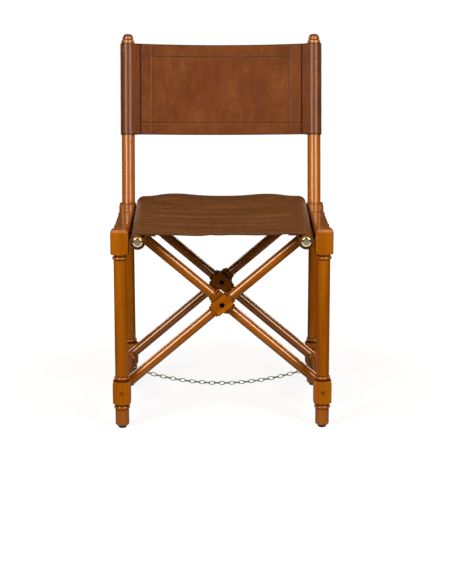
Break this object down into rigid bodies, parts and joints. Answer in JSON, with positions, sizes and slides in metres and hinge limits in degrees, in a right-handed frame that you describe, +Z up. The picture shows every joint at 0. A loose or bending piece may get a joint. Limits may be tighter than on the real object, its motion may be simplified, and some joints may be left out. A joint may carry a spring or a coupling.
{
  "type": "folding side chair",
  "caption": "Folding side chair with turned wood side frames, crossed round bars, leather sling seat and back, brass rod caps and a hanging chain between the lower stretchers.",
  "frame": {"origin": "on the floor, at the middle of the footprint of the whole chair", "axes": "+Z up, the sitter faces -Y, +X to the right of someone looking at the chair from in front"},
  "size_m": [0.4924, 0.4526, 0.8578],
  "materials": {
    "wood": "glossy orange-brown lacquer",
    "spacer_wood": "glossy brown lacquer",
    "seat_leather": "waxed brown leather",
    "back_leather": "waxed reddish brown leather",
    "brass": "polished brass",
    "dark_steel": "darkened steel",
    "glide": "dark matt glide"
  },
  "bodies": {
    "left_frame": {"front_leg_left": "wood", "back_leg_left": "wood", "side_rail_left": "wood", "back_post_left": "wood", "stretcher_left": "wood", "spacer_front_left": "spacer_wood", "spacer_back_left": "spacer_wood", "glide_front_left": "glide", "glide_back_left": "glide", "plug_front_left": "wood", "plug_back_left": "wood", "back_sleeve_left": "back_leather", "chain_eye_left": "brass", "back_panel": "back_leather", "back_border": "back_leather", "chain": "brass"},
    "cross_a": {"bar_a_front": "wood", "bar_a_back": "wood", "seat_rod_right": "wood", "cap_front_right": "brass", "cap_back_right": "brass", "rod_screw_right": "dark_steel", "seat_sleeve_right": "seat_leather", "seat_panel": "seat_leather", "pivot_bolt_front": "dark_steel", "pivot_bolt_back": "dark_steel", "pivot_washer_front": "dark_steel", "pivot_washer_back": "dark_steel", "pivot_nut_front": "dark_steel", "pivot_nut_back": "dark_steel"},
    "cross_b": {"bar_b_front": "wood", "bar_b_back": "wood", "seat_rod_left": "wood", "cap_front_left": "brass", "cap_back_left": "brass", "rod_screw_left": "dark_steel", "seat_sleeve_left": "seat_leather"},
    "right_frame": {"front_leg_right": "wood", "back_leg_right": "wood", "side_rail_right": "wood", "back_post_right": "wood", "stretcher_right": "wood", "spacer_front_right": "spacer_wood", "spacer_back_right": "spacer_wood", "glide_front_right": "glide", "glide_back_right": "glide", "plug_front_right": "wood", "plug_back_right": "wood", "back_sleeve_right": "back_leather", "chain_eye_right": "brass"}
  },
  "joints": [
    {"name": "fold", "type": "hinge", "parent": "left_frame", "child": "cross_a", "pos_m": [-0.2264, 0, 0.084], "axis": [0, -1, 0], "range_deg": [0, 40], "deforming": ["seat_panel", "back_panel", "back_border", "chain"]},
    {"name": "scissor", "type": "hinge", "parent": "cross_a", "child": "cross_b", "pos_m": [0, 0, 0.2765], "axis": [0, -1, 0], "range_deg": [-80, 0]},
    {"name": "right_fold", "type": "hinge", "parent": "cross_b", "child": "right_frame", "pos_m": [0.2264, 0, 0.084], "axis": [0, -1, 0], "range_deg": [0, 40]}
  ],
  "couplings": [
    {"joint": "scissor", "follows": "fold", "ratio": -2},
    {"joint": "right_fold", "follows": "fold", "ratio": 1}
  ]
}
